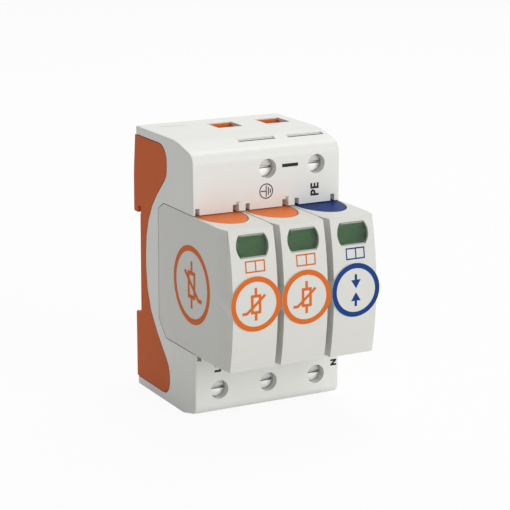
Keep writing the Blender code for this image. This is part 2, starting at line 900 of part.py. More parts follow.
def screw_solid(level):
    """A terminal screw about its own axis, with a slot and a cross recess in the head."""
    head_back = head_rear(level)
    head_face = head_back - SCREW_HEAD_LENGTH
    tip = bar_faces()[0] - GAP
    screw = prism(circle((0, 0), SCREW_HEAD_RADIUS), head_face, head_back, "Y")
    join(screw, prism(circle((0, 0), SCREW_SHANK_RADIUS), head_back - GAP, tip, "Y"))
    reach = SCREW_HEAD_RADIUS + GAP
    half_slot = SCREW_SLOT / 2
    half_cross = SCREW_CROSS / 2
    front = head_face - GAP
    slot = block((-half_slot, front, -reach), (half_slot, head_face + SCREW_SLOT_DEPTH, reach))
    deep = head_face + SCREW_CROSS_DEPTH
    upright = block((-half_slot, front, -half_cross), (half_slot, deep, half_cross))
    level_arm = block((-half_cross, front, -half_slot), (half_cross, deep, half_slot))
    cut(screw, slot, upright, level_arm)
    return screw


def cage_solid():
    """An open clamp cage about its screw's axis: threaded front wall, two sides and the jaw."""
    half_width = cage_half_width()
    half_height = CAGE_HEIGHT / 2
    rear = jaw_face() + CAGE_WALL
    outer = rectangle((-half_width, cage_front()), (half_width, rear), CAGE_CORNER)
    cage = prism(outer, -half_height, half_height, "Z")
    inner_half = half_width - CAGE_WALL
    room = block(
        (-inner_half, cage_front() + CAGE_FRONT_WALL, -half_height - GAP),
        (inner_half, jaw_face(), half_height + GAP),
    )
    thread = circle((0, 0), SCREW_SHANK_RADIUS + GAP)
    cut(cage, room, prism(thread, cage_front() - GAP, cage_front() + CAGE_FRONT_WALL + GAP, "Y"))
    return cage


def make_terminals():
    for level, numbers in TERMINALS.items():
        for number in numbers:
            place = terminal_place(level, number)
            label = f"{level}_{number}"
            seat = frame_at(f"terminal_{label}", place)
            make_part(f"terminal_screw_{label}", screw_solid(level), PLATED_STEEL, seat)
            make_part(f"clamp_cage_{label}", cage_solid(), PLATED_STEEL, seat)


# Contact bars


def contact_plane():
    """Front and rear face of the plates that carry the plug contacts."""
    return -BAR_PLANE - BAR_THICKNESS, -BAR_PLANE


def neutral_outline():
    """The neutral bar's flat plate in (x, z): two upper contacts, a riser and the lower contact."""
    half = BAR_WIDTH / 2 - PLATE_INSET
    riser_half = LINK_WIDTH / 2
    left, middle, right = (pole_x(number) for number in (1, 2, 3))
    riser = (middle + right) / 2
    contact_top = BLADES["upper"] + FORK_HEIGHT / 2
    contact_foot = BLADES["lower"] - FORK_HEIGHT / 2
    link_top = BLADES["upper"] - FORK_HEIGHT / 2 - LINK_OFFSET
    link_foot = BLADES["lower"] + FORK_HEIGHT / 2 + LINK_OFFSET
    corners = [
        (left - half, link_top - LINK_WIDTH),
        (left - half, contact_top),
        (left + half, contact_top),
        (left + half, link_top),
        (middle - half, link_top),
        (middle - half, contact_top),
        (middle + half, contact_top),
        (middle + half, link_top),
        (riser + riser_half, link_top),
        (riser + riser_half, link_foot + LINK_WIDTH),
        (right + half, link_foot + LINK_WIDTH),
        (right + half, contact_foot),
        (right - half, contact_foot),
        (right - half, link_foot),
        (riser - riser_half, link_foot),
        (riser - riser_half, link_top - LINK_WIDTH),
    ]
    return [Vector(corner) for corner in corners]


def earth_outline():
    """The earth bar's flat plate in (x, z): a link under the cages and the terminal of pole 2."""
    half = BAR_WIDTH / 2 - PLATE_INSET
    left, right = pole_x(2), pole_x(3)
    low = BAR_STEP_HEIGHT - BAR_THICKNESS / 2 + PLATE_INSET
    top = TERMINAL_HEIGHT + CAGE_HEIGHT / 2
    corners = [
        (left - half, low),
        (right + half, low),
        (right + half, low + LINK_WIDTH),
        (left + half, low + LINK_WIDTH),
        (left + half, top),
        (left - half, top),
    ]
    return [Vector(corner) for corner in corners]


def flat_plate(outline, faces, margin=0):
    """A plate between a front and a rear face, or a cutter a margin larger than it all round."""
    low, high = faces
    inset = PLATE_INSET if margin == 0 else -margin
    return prism(grown(outline, margin), low + inset, high - inset, "Y")


def bar_outline(level, margin=0):
    """Side view in (y, z) of a bent bar from a plug contact to its terminal."""
    side = SIDES[level]
    plane = sum(contact_plane()) / 2
    front = sum(bar_faces()) / 2
    step = side * BAR_STEP_HEIGHT
    contact_end = BLADES[level] - side * FORK_HEIGHT / 2
    terminal_end = side * (TERMINAL_HEIGHT + CAGE_HEIGHT / 2)
    path = [(plane, contact_end), (plane, step), (front, step), (front, terminal_end)]
    return grown(strip(path, BAR_THICKNESS), margin)


def bar_solid(level, number, margin=0):
    half = BAR_WIDTH / 2 + margin
    return prism(bar_outline(level, margin), pole_x(number) - half, pole_x(number) + half, "X")


def fork_solid(level, number):
    """Two spring fingers that hold a blade between them, on the plate behind."""
    x = pole_x(number)
    root = contact_plane()[0] + FORK_FINGER / 2 + PLATE_INSET
    tip = -FORK_DEPTH
    middle = BLADE_THICKNESS / 2 + GAP + FORK_FINGER / 2
    path = [
        (x - middle - FORK_FLARE, tip),
        (x - middle, tip + 2 * FORK_FLARE),
        (x - middle, root),
        (x + middle, root),
        (x + middle, tip + 2 * FORK_FLARE),
        (x + middle + FORK_FLARE, tip),
    ]
    low = BLADES[level] - FORK_HEIGHT / 2 + PLATE_INSET
    return prism(strip(path, FORK_FINGER), low, low + FORK_HEIGHT - 2 * PLATE_INSET, "Z")


def fork_pocket(level, number):
    """Cutter for the room of a plug contact's fingers."""
    x = pole_x(number)
    half = BLADE_THICKNESS / 2 + 2 * GAP + FORK_FINGER + FORK_FLARE
    half_height = FORK_HEIGHT / 2 + GAP + PLATE_INSET
    height = BLADES[level]
    return block(
        (x - half, -FORK_DEPTH - GAP, height - half_height),
        (x + half, -BAR_PLANE, height + half_height),
    )


def contact_pockets():
    """Cutters for the contact bars, a clearance larger than the bars all round."""
    cutters = [
        flat_plate(neutral_outline(), contact_plane(), GAP),
        flat_plate(earth_outline(), bar_faces(), GAP),
        bar_solid("upper", 3, GAP),
    ]
    for number in range(1, POLES + 1):
        cutters.append(bar_solid("lower", number, GAP))
        for level in BLADES:
            cutters.append(fork_pocket(level, number))
    return cutters


def make_contact_bars():
    for number in (1, 2):
        line = bar_solid("lower", number)
        join(line, fork_solid("lower", number))
        make_part(f"line_bar_{number}", line, TINNED_COPPER)
    neutral = bar_solid("lower", 3)
    join(neutral, flat_plate(neutral_outline(), contact_plane()))
    join(neutral, fork_solid("lower", 3), fork_solid("upper", 1), fork_solid("upper", 2))
    make_part("neutral_bar", neutral, TINNED_COPPER)
    earth = bar_solid("upper", 3)
    join(earth, flat_plate(earth_outline(), bar_faces()), fork_solid("upper", 3))
    make_part("earth_bar", earth, TINNED_COPPER)


# Cartridges, each about its own pole's middle


def plan_outline(inset, depth_inset):
    """Plan view of a cartridge in (x, y): straight sides, then the taper towards the face."""
    half = CARTRIDGE_WIDTH / 2 - inset
    narrow = FACE_WIDTH / 2 - inset
    front = -FACE_DEPTH - 2 * BOSS_RISE
    return rounded(
        [
            (half, 0, 0),
            (-half, 0, 0),
            (-half, -TAPER_START + depth_inset, TAPER_START_RADIUS),
            (-narrow, -TAPER_END + depth_inset, TAPER_END_RADIUS),
            (-narrow, front, 0),
            (narrow, front, 0),
            (narrow, -TAPER_END + depth_inset, TAPER_END_RADIUS),
            (half, -TAPER_START + depth_inset, TAPER_START_RADIUS),
        ]
    )


def ceiling():
    """Height of the shell's inner top under the coloured inlay."""
    return CARTRIDGE_HEIGHT / 2 - CAP_THICKNESS - GAP - CAP_FLOOR


def cavity():
    """The hollow of the shell, open to the rear."""
    half = CARTRIDGE_HEIGHT / 2
    rear = -CARTRIDGE_REAR
    corners = [
        (rear + GAP, -half + FOOT_CHAMFER + SHELL_WALL, 0),
        (rear + GAP, half - TOP_CHAMFER_DROP - SHELL_WALL, 0),
        (rear - TOP_CHAMFER_DEPTH, ceiling(), 0),
        (-CAP_FRONT - 2 * GAP, ceiling(), 0),
        (-CAP_FRONT - 2 * GAP, half - SHELL_WALL, 0),
    ]
    for step in range(FACE_STEPS + 1):
        height = half - SHELL_WALL - (CARTRIDGE_HEIGHT - 2 * SHELL_WALL) * step / FACE_STEPS
        corners.append((face_y(height, FRONT_WALL), height, 0))
    corners.append((rear - FOOT_CHAMFER - SHELL_WALL / 2, -half + SHELL_WALL, 0))
    hollow = prism(rounded(corners), -CARTRIDGE_WIDTH, CARTRIDGE_WIDTH, "X")
    keep_inside(hollow, prism(plan_outline(SHELL_WALL, FRONT_WALL), -half, half, "Z"))
    return settle(hollow)


def cap_outline(margin=0):
    """Plan view of the coloured inlay in (x, y): a half ellipse in front of straight sides."""
    half = CAP_HALF_WIDTH + margin
    centre = -UPPER_DEPTH - FRONT_DRAFT
    reach = -CAP_FRONT - centre - margin
    points = [Vector((half, -CAP_REAR + margin)), Vector((-half, -CAP_REAR + margin))]
    steps = ROUND_SEGMENTS
    for step in range(steps + 1):
        angle = math.pi * step / steps
        points.append(Vector((-half * math.cos(angle), centre + reach * math.sin(angle))))
    return points


def barrel_outline(margin=0):
    """Outline of the status window in (x, z): flat top and bottom, round sides."""
    half_height = WINDOW_HEIGHT / 2
    end = WINDOW_END_WIDTH / 2
    bulge = WINDOW_WIDTH / 2 - end
    radius = (half_height**2 + bulge**2) / (2 * bulge)
    opening = math.asin(half_height / radius)
    points = []
    for side in (1, -1):
        for step in range(7):
            angle = opening * (step / 3 - 1)
            x = side * (end + bulge - radius + radius * math.cos(angle))
            points.append(Vector((x, WINDOW_CENTRE + side * radius * math.sin(angle))))
    return grown(points, margin)


def boss():
    """The round boss on the face, which follows the face's curve a little in front of it."""
    rim = circle((0, BOSS_HEIGHT), BOSS_RADIUS, 2 * ROUND_SEGMENTS)
    disc = prism(rim, -2 * FACE_DEPTH, -TAPER_START, "Y")
    outline = []
    for step in range(FACE_STEPS + 1):
        height = BOSS_HEIGHT + 2 * BOSS_RADIUS * (0.5 - step / FACE_STEPS) * 1.2
        outline.append(Vector((face_y(height, -BOSS_RISE), height)))
    outline.append(Vector((0, outline[-1].y)))
    outline.append(Vector((0, outline[0].y)))
    keep_inside(disc, prism(outline, -CARTRIDGE_WIDTH, CARTRIDGE_WIDTH, "X"))
    return settle(disc)


def shell_solid():
    half_width = CARTRIDGE_WIDTH / 2
    half = CARTRIDGE_HEIGHT / 2
    shell = prism(cartridge_outline(), -half_width - GAP, half_width + GAP, "X")
    keep_inside(shell, prism(plan_outline(0, 0), -half - GAP, half + GAP, "Z"))
    join(shell, boss())
    cut(shell, cavity())
    cut(shell, prism(cap_outline(GAP), half - CAP_THICKNESS - GAP, half + GAP, "Z"))
    cut(shell, prism(barrel_outline(), -2 * FACE_DEPTH, face_y(WINDOW_CENTRE, 3 * FRONT_WALL), "Y"))
    return shell


def lens_solid():
    """The clear window: a curved plate that fills the barrel opening."""
    lens = prism(barrel_outline(-GAP), -2 * FACE_DEPTH, 0, "Y")
    outline = []
    for inset, way in ((LENS_SINK, 1), (LENS_SINK + LENS_THICKNESS, -1)):
        for step in range(5):
            height = WINDOW_CENTRE + way * WINDOW_HEIGHT * (0.6 - 0.3 * step)
            outline.append(Vector((face_y(height, inset), height)))
    keep_inside(lens, prism(outline, -WINDOW_WIDTH, WINDOW_WIDTH, "X"))
    return lens


def flag_heights():
    """Foot and top of the raised flag."""
    foot = WINDOW_CENTRE - WINDOW_HEIGHT / 2 - FLAG_MARGIN
    return foot, CARTRIDGE_HEIGHT / 2 - SHELL_WALL - GAP


def flag_faces():
    """Front and rear face of the upright flag, which clears the curved front wall all the way down."""
    _, high = flag_heights()
    front = face_y(high, FRONT_WALL + GAP)
    return front, front + FLAG_THICKNESS


def flag_solid():
    """The status flag: a plate behind the window, with a keel that runs in the carrier's groove."""
    low, high = flag_heights()
    front, rear = flag_faces()
    half_width = FLAG_WIDTH / 2
    flag = block((-half_width, front, low), (half_width, rear, high))
    keel_half = FLAG_KEEL_WIDTH / 2
    keel_low = (-keel_half, (front + rear) / 2, low + PLATE_INSET)
    keel_high = (keel_half, rear + FLAG_KEEL_DEPTH, low + FLAG_KEEL_HEIGHT)
    join(flag, block(keel_low, keel_high))
    return flag


def carrier_solid(element_outline, strap_x):
    """The inner frame: holds the element, and its upright front shows behind the lowered flag."""
    half = CARTRIDGE_HEIGHT / 2
    low, high = flag_heights()
    flag_rear = flag_faces()[1]
    front = flag_rear + GAP
    floor = -half + SHELL_WALL + GAP
    top = ceiling() - GAP
    outline = [
        Vector((-CARRIER_REAR, floor + FOOT_CHAMFER)),
        Vector((-CARRIER_REAR - FOOT_CHAMFER, floor)),
        Vector((front, floor)),
        Vector((front, high)),
        Vector((front + FRONT_WALL, high)),
        Vector((front + FRONT_WALL, top)),
        Vector((-CARRIER_REAR - TOP_CHAMFER_DEPTH, top)),
        Vector((-CARRIER_REAR, top - TOP_CHAMFER_DROP)),
    ]
    half_width = CARRIER_WIDTH / 2
    carrier = prism(outline, -half_width, half_width, "X")
    cut(carrier, prism(grown(element_outline, GAP), -CARTRIDGE_WIDTH, CARTRIDGE_WIDTH, "X"))
    groove_half = FLAG_KEEL_WIDTH / 2 + GAP
    cut(
        carrier,
        block(
            (-groove_half, -FACE_DEPTH, low - FLAG_TRAVEL - GAP),
            (groove_half, flag_rear + FLAG_KEEL_DEPTH + GAP, half),
        ),
    )
    slot_half = strap_x + BLADE_THICKNESS / 2 + GAP
    slot_height = BLADE_HEIGHT / 2 + GAP
    for height in BLADES.values():
        cut(
            carrier,
            block(
                (-slot_half, -ELEMENT_CENTRE_DEPTH, height - slot_height),
                (slot_half, -CARRIER_REAR + GAP, height + slot_height),
            ),
        )
    return carrier


def back_solid():
    """The plate that closes the cartridge's rear, with a slot for each blade."""
    half_width = CARTRIDGE_WIDTH / 2 - SHELL_WALL - GAP
    half = CARTRIDGE_HEIGHT / 2
    low = -half + FOOT_CHAMFER + SHELL_WALL + GAP
    high = half - TOP_CHAMFER_DROP - SHELL_WALL - GAP
    rear = -CARTRIDGE_REAR
    plate = block((-half_width, rear - BACK_THICKNESS, low), (half_width, rear, high))
    slot_half = BLADE_THICKNESS / 2 + GAP
    slot_height = BLADE_HEIGHT / 2 + GAP
    for height in BLADES.values():
        cut(
            plate,
            block(
                (-slot_half, rear - 2 * BACK_THICKNESS, height - slot_height),
                (slot_half, rear + GAP, height + slot_height),
            ),
        )
    return plate


def blade_solid(level, strap_x):
    """A plug blade whose strap bends sideways and lies on the element's face."""
    x = SIDES[level] * strap_x
    tip = contact_plane()[0] - GAP
    path = [(0, tip), (0, -STRAP_BEND_START), (x, -STRAP_BEND_END), (x, -STRAP_END)]
    low = BLADES[level] - BLADE_HEIGHT / 2
    return prism(strip(path, BLADE_THICKNESS), low, low + BLADE_HEIGHT, "Z")


def varistor_outline():
    half_depth = VARISTOR_DEPTH / 2
    half_height = CARTRIDGE_HEIGHT / 2 - VARISTOR_MARGIN
    low = (-ELEMENT_CENTRE_DEPTH - half_depth, ELEMENT_CENTRE_HEIGHT - half_height)
    high = (-ELEMENT_CENTRE_DEPTH + half_depth, ELEMENT_CENTRE_HEIGHT + half_height)
    return rectangle(low, high, VARISTOR_CORNER)


def varistor_solid():
    half = VARISTOR_THICKNESS / 2
    return prism(varistor_outline(), -half, half, "X")


def spark_gap_outline():
    return circle((-ELEMENT_CENTRE_DEPTH, ELEMENT_CENTRE_HEIGHT), SPARK_GAP_RADIUS, 2 * ROUND_SEGMENTS)


def spark_gap_solid():
    """A sealed spark gap: a ceramic ring between two dished metal ends, turned about X."""
    half = SPARK_GAP_THICKNESS / 2
    lip = SPARK_GAP_LIP
    waist = SPARK_GAP_RADIUS - lip / 2
    profile = [
        (half, 0),
        (half, SPARK_GAP_RADIUS - lip),
        (half - lip / 2, SPARK_GAP_RADIUS),
        (half - lip, SPARK_GAP_RADIUS),
        (half - lip, waist),
        (lip - half, waist),
        (lip - half, SPARK_GAP_RADIUS),
        (lip / 2 - half, SPARK_GAP_RADIUS),
        (-half, SPARK_GAP_RADIUS - lip),
        (-half, 0),
    ]
    gap = ring_column(profile)
    gap.data.transform(Matrix.Translation((0, -ELEMENT_CENTRE_DEPTH, ELEMENT_CENTRE_HEIGHT)))
    return gap


def make_cartridge(number):
    """One plug-in cartridge. The last pole holds the spark gap, the others a varistor."""
    seat = frame_at(f"cartridge_{number}", (pole_x(number), 0, 0))
    is_last = number == POLES
    thickness = SPARK_GAP_THICKNESS if is_last else VARISTOR_THICKNESS
    strap_x = thickness / 2 + GAP + BLADE_THICKNESS / 2
    outline = spark_gap_outline() if is_last else varistor_outline()
    cap_height = CARTRIDGE_HEIGHT / 2
    cap = prism(cap_outline(), cap_height - CAP_THICKNESS, cap_height, "Z")
    make_part(f"cartridge_shell_{number}", shell_solid(), WHITE_PLASTIC, seat)
    make_part(f"cartridge_back_{number}", back_solid(), WHITE_PLASTIC, seat)
    make_part(f"colour_cap_{number}", cap, BLUE_PLASTIC if is_last else ORANGE_PLASTIC, seat)
    make_part(f"status_window_{number}", lens_solid(), CLEAR_PLASTIC, seat)
    make_part(f"status_flag_{number}", flag_solid(), GREEN_PLASTIC, seat)
    make_part(f"carrier_{number}", carrier_solid(outline, strap_x), RED_PLASTIC, seat)
    for level in BLADES:
        make_part(f"blade_{level}_{number}", blade_solid(level, strap_x), TINNED_COPPER, seat)
    if is_last:
        make_part(f"spark_gap_{number}", spark_gap_solid(), CERAMIC, seat)
    else:
        make_part(f"varistor_{number}", varistor_solid(), COATING, seat)


def main():
    make_front_housing()
    make_rear_housing()
    make_rail_foot(frame_at("rail_foot_slide", (0, 0, 0)))
    make_foot_spring()
    make_terminals()
    make_contact_bars()
    for number in range(1, POLES + 1):
        make_cartridge(number)


main()
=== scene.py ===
"""Looks of the three-pole surge arrester: finer edges, prints, materials, studio and camera.

Lengths are metres. Outlines of prints are flat, in (u, v), and a surface function lays them down.
"""

import json
import math

import bmesh
import bpy
from mathutils import Matrix, Vector


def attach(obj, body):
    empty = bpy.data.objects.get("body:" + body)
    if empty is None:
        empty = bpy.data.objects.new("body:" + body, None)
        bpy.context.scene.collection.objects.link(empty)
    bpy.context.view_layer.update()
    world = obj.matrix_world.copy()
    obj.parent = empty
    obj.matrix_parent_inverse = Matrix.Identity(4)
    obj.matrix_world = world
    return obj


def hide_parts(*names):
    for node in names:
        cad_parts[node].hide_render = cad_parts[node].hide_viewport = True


# Camera, matched to the photograph, with angles in radians
CAMERA_PLACE = (-0.27798, -0.54475, 0.15429)
CAMERA_YAW = 0.49601
CAMERA_PITCH = 0.24998
CAMERA_ROLL = 0.00576
FOCAL_PIXELS = 1837.78
IMAGE_SIDE = 510
SENSOR = 36.0

# Housing, as the solids have it
PITCH = 0.018
HALF_HEIGHT = 0.045
HALF_WIDTH = 0.02685
UPPER_FRONT = 0.0391
LOWER_FRONT = 0.0408
FRONT_SKIN = 0.0366  # what lies further out than this is on the housing's front
BLOCK_FOOT = 0.0228  # underside of the upper block, mirrored at the top of the lower one
UPPER_FRONT_FOOT = 0.0396011  # depth of the upper front at that underside
FRONT_SLOPE = 0.02625  # the upper front leans back by this for each unit of height
PLANE_PLAY = 0.000005  # points this close to a plane lie on it

# Cartridges, as the solids have them
FACE_DEPTH = 0.06495
FACE_RADIUS = 0.0940
FACE_APEX = -0.0035
BOSS_HEIGHT = -0.0007
BOSS_RADIUS = 0.0088
BOSS_RISE = 0.0004
SHELL_SIDE = 0.0088
WINDOW_LOW = 0.0137
WINDOW_HIGH = 0.0209

# Terminal screws, with depths counted from the modelled face of the head
SCREW_HEIGHT = 0.0356
SCREW_FACE = {"upper": -0.0379, "lower": -0.0396}
SCREW_SINK = 0.0015  # the heads are seen this much deeper in their holes
SCREW_SLOT_FLOOR = 0.0027
SCREW_HEAD_REAR = 0.0034
SCREW_END = -0.0154
SCREW_HEAD_RADIUS = 0.0029
SCREW_SHANK_RADIUS = 0.0021
SCREW_SLOT = 0.0007
SCREW_RIM = 0.00015
SCREW_RIM_PLAY = 0.000001

# Notches and nibs under the blocks, modelled place first and the photograph's second
NOTCH_PLACES = ((-0.0071, -0.0081), (-0.0059, -0.0066), (0.0059, 0.0053), (0.0071, 0.0068))
NIB_FROM = (0.0073, 0.0084)
NIB_TO = (0.0069, 0.00835)
DETAIL_LIFT = 0.0004  # their tops are seen this much further from the cartridges
DETAIL_REACH = (-0.0004, 0.0032)  # they lie between these heights over the block's foot
DETAIL_TOP = 0.0010  # and their tops over this one
DETAIL_SLOPE_DEPTH = 0.0006

# Widths of the rounded edges
FRONT_ROUND = 0.00022
REAR_ROUND = 0.00025
SHELL_ROUND = 0.00035
CAP_ROUND = 0.00012
WINDOW_ROUND = 0.00030
CAGE_ROUND = 0.00020
FOOT_ROUND = 0.00030
SMOOTH_ANGLE = 35
FLAT_ANGLE = 0.3
SAME_POINT = 0.000002

# Print layers
PRINT_LIFT = 0.00003
LAYER = 0.000006  # a print that crosses another one lies this much higher
SINK = 0.00004  # surfaces on the model's outermost planes stand back by this, for their prints
STRIP = 0.0008  # prints are cut into strips of this height, to follow curved surfaces
TRIAL_STEP = 0.001
CAPITAL_SHARE = 0.69  # height of a capital letter in a font of size 1

# Prints on the cartridges, and painted highlights along their windows' edges
RING_MARGIN = 0.00005
RING_BAND = 0.0017
FACE_SYMBOL = 0.0052
FACE_LINE = 0.0009
FRAME_LOW = (-0.0029, 0.0094)
FRAME_HIGH = (0.0036, 0.0127)
FRAME_MIDDLE = 0.0005
FRAME_LINE = 0.00044
# Painted highlights: pale lines just inside the status windows' top and bottom edges
RIM_HALF = 0.0042
RIM_LINE = 0.0004
RIM_MARGIN = 0.0001
SIDE_CENTRE = (-0.0382, 0.0)
SIDE_RADIUS = 0.0129
SIDE_INNER = 0.0110
SIDE_STEPS = 128
SIDE_SYMBOL = 0.0078
SIDE_LINE = 0.0013

# Prints on the housing, and a painted shade line on its top
EARTH = (-0.0006, 0.0283)
EARTH_RADIUS = 0.0025
EARTH_STEPS = 64
EARTH_STEM = 0.0020
EARTH_BARS = ((0.0000, 0.0019), (0.0008, 0.0013), (0.0015, 0.0007))  # place and half length
EARTH_LINE = 0.00034
LINK_BAR = ((0.0053, 0.03605), (0.01115, 0.03605))
LINK_LINE = 0.0011
# painted shade of a faint recessed line on the top, over the first pole
TOP_GROOVE_SHADOW = ((-0.0207, -0.0033), (-0.0127, -0.0043))
TOP_LINE = 0.0005
PRINT_SLOPE_TOP = HALF_HEIGHT - 0.0031  # the upper front's print leans forward from here down
PRINT_SLOPE_HEIGHT = 0.0191
PRINT_SLOPE_DEPTH = 0.0005

# Wire windows and slots in the upper block's top
WIRE_WINDOW_HALF = 0.0045
WIRE_WINDOW_REAR = 0.0049
LINING_FRONT = 0.0120
LINING_SKIN = 0.0002
LINING_TOP = 0.0004  # these two are counted down from the top
LINING_FOOT = 0.0030
SLOT_FRONT = 0.0323
SLOT_REAR = 0.0301
SLOT_HALF = 0.0067
SLOT_DEPTH = 0.0030
SHELF_GAP = 0.0010
SHELF_FRONT_HEIGHT = 0.04366
SHELF_REAR_HEIGHT = 0.04385

# Studio
FLOOR_SIZE = 12.0
FLOOR_GAP = 0.00002
FLOOR_TONE = 0.86
FLOOR_SHARE = 0.93
WORLD_TONE = (0.97, 0.985, 1.0, 1)
WORLD_STRENGTH = 0.37
PURE_WHITE = (1, 1, 1, 1)
LAMP_AIM = (0, -0.03, 0)
LAMP_SIZE = 0.9
LAMPS = (("key", (0.45, -1.30, 0.40), 9.3), ("top", (0.35, 0.35, 1.25), 9.5))

# Colours, linear
WHITE = (0.815, 0.812, 0.775)
DULL_WHITE = (0.710, 0.703, 0.655)
# the housing's white painted darker, as painted shade on the slot shelves
PAINTED_SHADOW_SLOT_WHITE = (0.58, 0.575, 0.55)
# painted shade: near black for the slot shelves' front walls, in place of the deep gap's shadow
PAINTED_GAP_SHADOW = (0.10, 0.10, 0.10)
ORANGE = (0.640, 0.122, 0.022)
# the rear housing's orange painted brighter, as painted light on the walls inside the wire windows
PAINTED_LIGHT_LINING_ORANGE = (0.930, 0.220, 0.040)
CAP_ORANGE = (0.780, 0.200, 0.052)
INK_ORANGE = (0.73, 0.155, 0.022)
BLUE = (0.006, 0.035, 0.168)
INK_BLUE = (0.012, 0.052, 0.235)
GREEN = (0.010, 0.078, 0.008)
RED = (0.40, 0.02, 0.015)
GREY = (0.17, 0.17, 0.175)
BLACK = (0.012, 0.012, 0.012)
# painted highlight for the lines along the status windows' edges
PAINTED_HIGHLIGHT_GREY = (0.34, 0.40, 0.33)
# painted shade of a faint recessed line on the housing's top
PAINTED_SHADOW_GREY = (0.60, 0.60, 0.58)
CLEAR = (0.93, 0.96, 0.94)
COATING = (0.03, 0.09, 0.18)
CERAMIC = (0.74, 0.71, 0.66)
STEEL = (0.60, 0.60, 0.59)
SPRING_STEEL = (0.45, 0.45, 0.46)
COPPER = (0.66, 0.60, 0.52)

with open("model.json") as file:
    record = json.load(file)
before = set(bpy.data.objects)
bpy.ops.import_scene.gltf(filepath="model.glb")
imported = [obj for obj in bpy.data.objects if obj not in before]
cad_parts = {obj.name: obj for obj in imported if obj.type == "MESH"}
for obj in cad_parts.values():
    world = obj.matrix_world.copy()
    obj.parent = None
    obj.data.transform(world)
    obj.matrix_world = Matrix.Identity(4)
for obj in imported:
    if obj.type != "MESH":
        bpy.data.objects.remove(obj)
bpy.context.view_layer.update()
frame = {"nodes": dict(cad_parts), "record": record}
NODES = frame["nodes"]
BODY_OF = {}
for body, members in frame["record"]["behaviour"]["bodies"].items():
    for member in members:
        BODY_OF[member] = body


# Materials


def shader_node(tree, kind, x, y, **values):
    node = tree.nodes.new(kind)
    node.location = (x, y)
    for key, value in values.items():
        setattr(node, key, value)
    return node


def add_mottle(tree, shader, place, colour, tint):
    """Lets the colour wander a little across the surface."""
    mottle = shader_node(tree, "ShaderNodeTexNoise", -700, 120)
    mottle.inputs["Scale"].default_value = 160.0
    mottle.inputs["Detail"].default_value = 4.0
    tree.links.new(place, mottle.inputs["Vector"])
    shades = shader_node(tree, "ShaderNodeMix", -400, 120, data_type="RGBA")
    dark = [channel * (1 - tint) for channel in colour]
    light = [min(1.0, channel * (1 + tint)) for channel in colour]
    shades.inputs["A"].default_value = (*dark, 1)
    shades.inputs["B"].default_value = (*light, 1)
    tree.links.new(mottle.outputs["Fac"], shades.inputs["Factor"])
    tree.links.new(shades.outputs["Result"], shader.inputs["Base Color"])


def add_grain(tree, shader, place, roughness, bump):
    """A fine moulded or rolled grain, in the gloss and in the relief."""
    fine = shader_node(tree, "ShaderNodeTexNoise", -700, -180)
    fine.inputs["Scale"].default_value = 2600.0
    fine.inputs["Detail"].default_value = 3.0
    tree.links.new(place, fine.inputs["Vector"])
    gloss = shader_node(tree, "ShaderNodeMapRange", -400, -60)
    gloss.inputs["To Min"].default_value = roughness - 0.05
    gloss.inputs["To Max"].default_value = roughness + 0.05
    tree.links.new(fine.outputs["Fac"], gloss.inputs["Value"])
    tree.links.new(gloss.outputs["Result"], shader.inputs["Roughness"])
    relief = shader_node(tree, "ShaderNodeBump", -400, -260)
    relief.inputs["Strength"].default_value = 0.35
    relief.inputs["Distance"].default_value = bump
    tree.links.new(fine.outputs["Fac"], relief.inputs["Height"])
    tree.links.new(relief.outputs["Normal"], shader.inputs["Normal"])


def surface(name, colour, roughness, metallic=0.0, tint=0.02, bump=0.00002, shine=0.5):
    made = bpy.data.materials.new(name)
    made.use_nodes = True
    tree = made.node_tree
    shader = tree.nodes["Principled BSDF"]
    place = shader_node(tree, "ShaderNodeTexCoord", -900, 0).outputs["Object"]
    add_mottle(tree, shader, place, colour, tint)
    add_grain(tree, shader, place, roughness, bump)
    shader.inputs["Metallic"].default_value = metallic
    shader.inputs["Specular IOR Level"].default_value = shine
    return made


def clear_material():
    """Clear polished plastic with a slight moulding flow in it."""
    made = surface("clear_plastic", CLEAR, 0.08, tint=0.01, bump=0.000004, shine=0.2)
    shader = made.node_tree.nodes["Principled BSDF"]
    shader.inputs["Transmission Weight"].default_value = 1.0
    shader.inputs["IOR"].default_value = 1.18
    return made


MATERIALS = {
    "white_plastic": surface("white_plastic", WHITE, 0.42, shine=0.35),
    "cartridge_white": surface("cartridge_white", DULL_WHITE, 0.44, shine=0.35),
    "orange_plastic": surface("orange_plastic", ORANGE, 0.46, tint=0.03, shine=0.08),
    "orange_cap": surface("orange_cap", CAP_ORANGE, 0.44, tint=0.03, shine=0.05),
    "painted_shadow_slot_white": surface("painted_shadow_slot_white", PAINTED_SHADOW_SLOT_WHITE, 0.44, shine=0.3),
    "painted_gap_shadow": surface("painted_gap_shadow", PAINTED_GAP_SHADOW, 0.60, tint=0.05, shine=0.1),
    "painted_light_lining_orange": surface("painted_light_lining_orange", PAINTED_LIGHT_LINING_ORANGE, 0.46, tint=0.03, shine=0.08),
    "blue_cap": surface("blue_cap", BLUE, 0.42, tint=0.04, shine=0.05),
    "green_plastic": surface("green_plastic", GREEN, 0.45, tint=0.05, shine=0.1),
    "red_plastic": surface("red_plastic", RED, 0.45, tint=0.04),
    "grey_plastic": surface("grey_plastic", GREY, 0.50, tint=0.05),
    "clear_plastic": clear_material(),
    "element_coating": surface("element_coating", COATING, 0.5, tint=0.10, bump=0.00005),
    "spark_gap_ceramic": surface("spark_gap_ceramic", CERAMIC, 0.4, tint=0.04),
    "plated_steel": surface("plated_steel", STEEL, 0.52, metallic=1.0, tint=0.05),
    "spring_steel": surface("spring_steel", SPRING_STEEL, 0.32, metallic=1.0, tint=0.06),
    "tinned_copper": surface("tinned_copper", COPPER, 0.34, metallic=1.0, tint=0.06),
}
